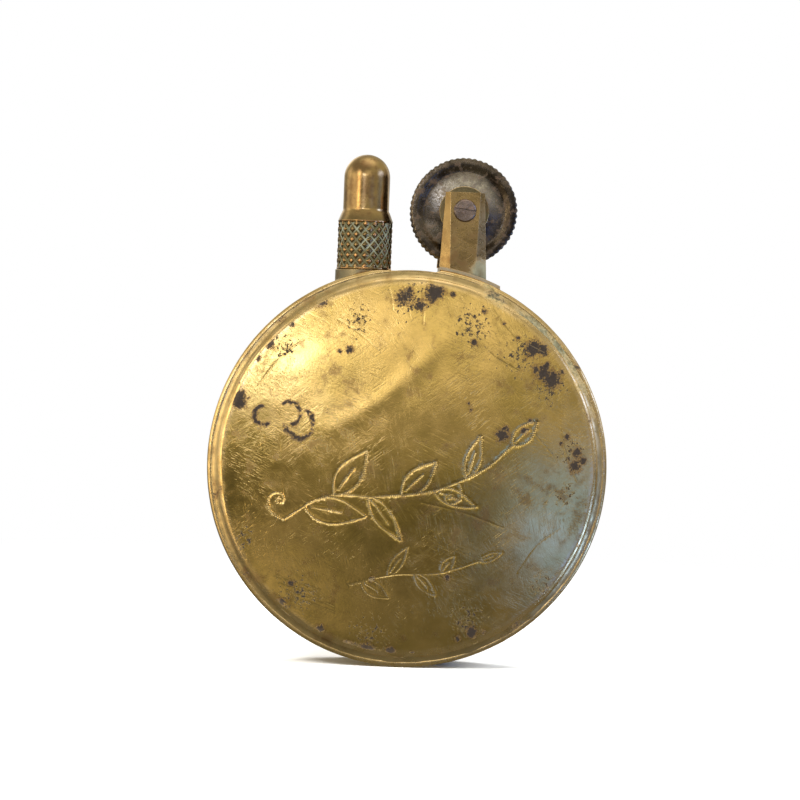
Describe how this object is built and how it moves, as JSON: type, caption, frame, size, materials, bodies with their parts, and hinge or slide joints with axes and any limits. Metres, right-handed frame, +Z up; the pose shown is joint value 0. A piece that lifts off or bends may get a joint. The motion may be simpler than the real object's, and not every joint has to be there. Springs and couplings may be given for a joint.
{
  "type": "pocket petrol lighter",
  "caption": "Round brass pocket petrol lighter shaped like a watch case, with a knurled pull-off snuffer cap over the wick and a flint wheel in a fork, fed by a sprung flint.",
  "frame": {"origin": "centre of the round case, midway between the two covers", "axes": "+Z up from the case centre through the cap and the wheel, +X to the wheel's side, front cover faces -Y"},
  "size_m": [0.048, 0.014, 0.0615],
  "materials": {
    "case_brass": "hand-polished brass, worn and tarnished",
    "cap_brass": "turned brass, dark with verdigris in the knurling",
    "fork_brass": "filed brass, dull, verdigris at the foot",
    "fitting_brass": "turned brass, dull",
    "solder": "dull grey solder, green with verdigris",
    "disc_steel": "steel with brown rust patina",
    "striker_steel": "hardened steel, dull",
    "screw_steel": "steel, browned",
    "spring_steel": "drawn steel wire",
    "flint": "grey ferrocerium",
    "wick_cotton": "woven cotton, charred at the tip",
    "wadding_cotton": "loose cotton wool"
  },
  "bodies": {
    "case": {"case_band": "case_brass", "front_cover": "case_brass", "rear_cover": "case_brass", "front_solder_seam": "solder", "rear_solder_seam": "solder", "cotton_wadding": "wadding_cotton", "burner_collar": "fitting_brass", "wick_tube": "fitting_brass", "wick": "wick_cotton", "wheel_fork": "fork_brass", "fork_foot_plate": "fork_brass", "axle_screw": "screw_steel", "flint_tube": "fitting_brass"},
    "cap": {"snuffer_cap": "cap_brass"},
    "wheel": {"wheel_hub": "fitting_brass", "striker_wheel": "striker_steel", "front_thumb_disc": "disc_steel", "rear_thumb_disc": "disc_steel"},
    "flint_follower": {"flint": "flint", "flint_plunger": "fitting_brass"},
    "spring": {"flint_spring": "spring_steel"},
    "screw_plug": {"flint_screw": "fitting_brass"}
  },
  "joints": [
    {"name": "wheel_spin", "type": "hinge", "parent": "case", "child": "wheel", "pos_m": [0.00575, 0, 0.031], "axis": [0, 1, 0], "continuous": true},
    {"name": "cap_lift", "type": "slide", "parent": "case", "child": "cap", "axis": [0, 0, 1], "range_m": [0, 0.014]},
    {"name": "flint_feed", "type": "slide", "parent": "case", "child": "flint_follower", "axis": [0, 0, 1], "range_m": [-0.0015, 0], "stiffness_N_per_m": 300, "deforming": ["flint_spring"]},
    {"name": "screw_plug_travel", "type": "slide", "parent": "case", "child": "spring", "axis": [0, 0, -1], "range_m": [0, 0.004]},
    {"name": "screw_plug_turn", "type": "hinge", "parent": "spring", "child": "screw_plug", "pos_m": [0.00575, 0, -0.02085], "axis": [0, 0, -1], "range_deg": [0, 2880]}
  ],
  "couplings": [
    {"joint": "screw_plug_turn", "follows": "screw_plug_travel", "rad_per_m": 12566}
  ]
}
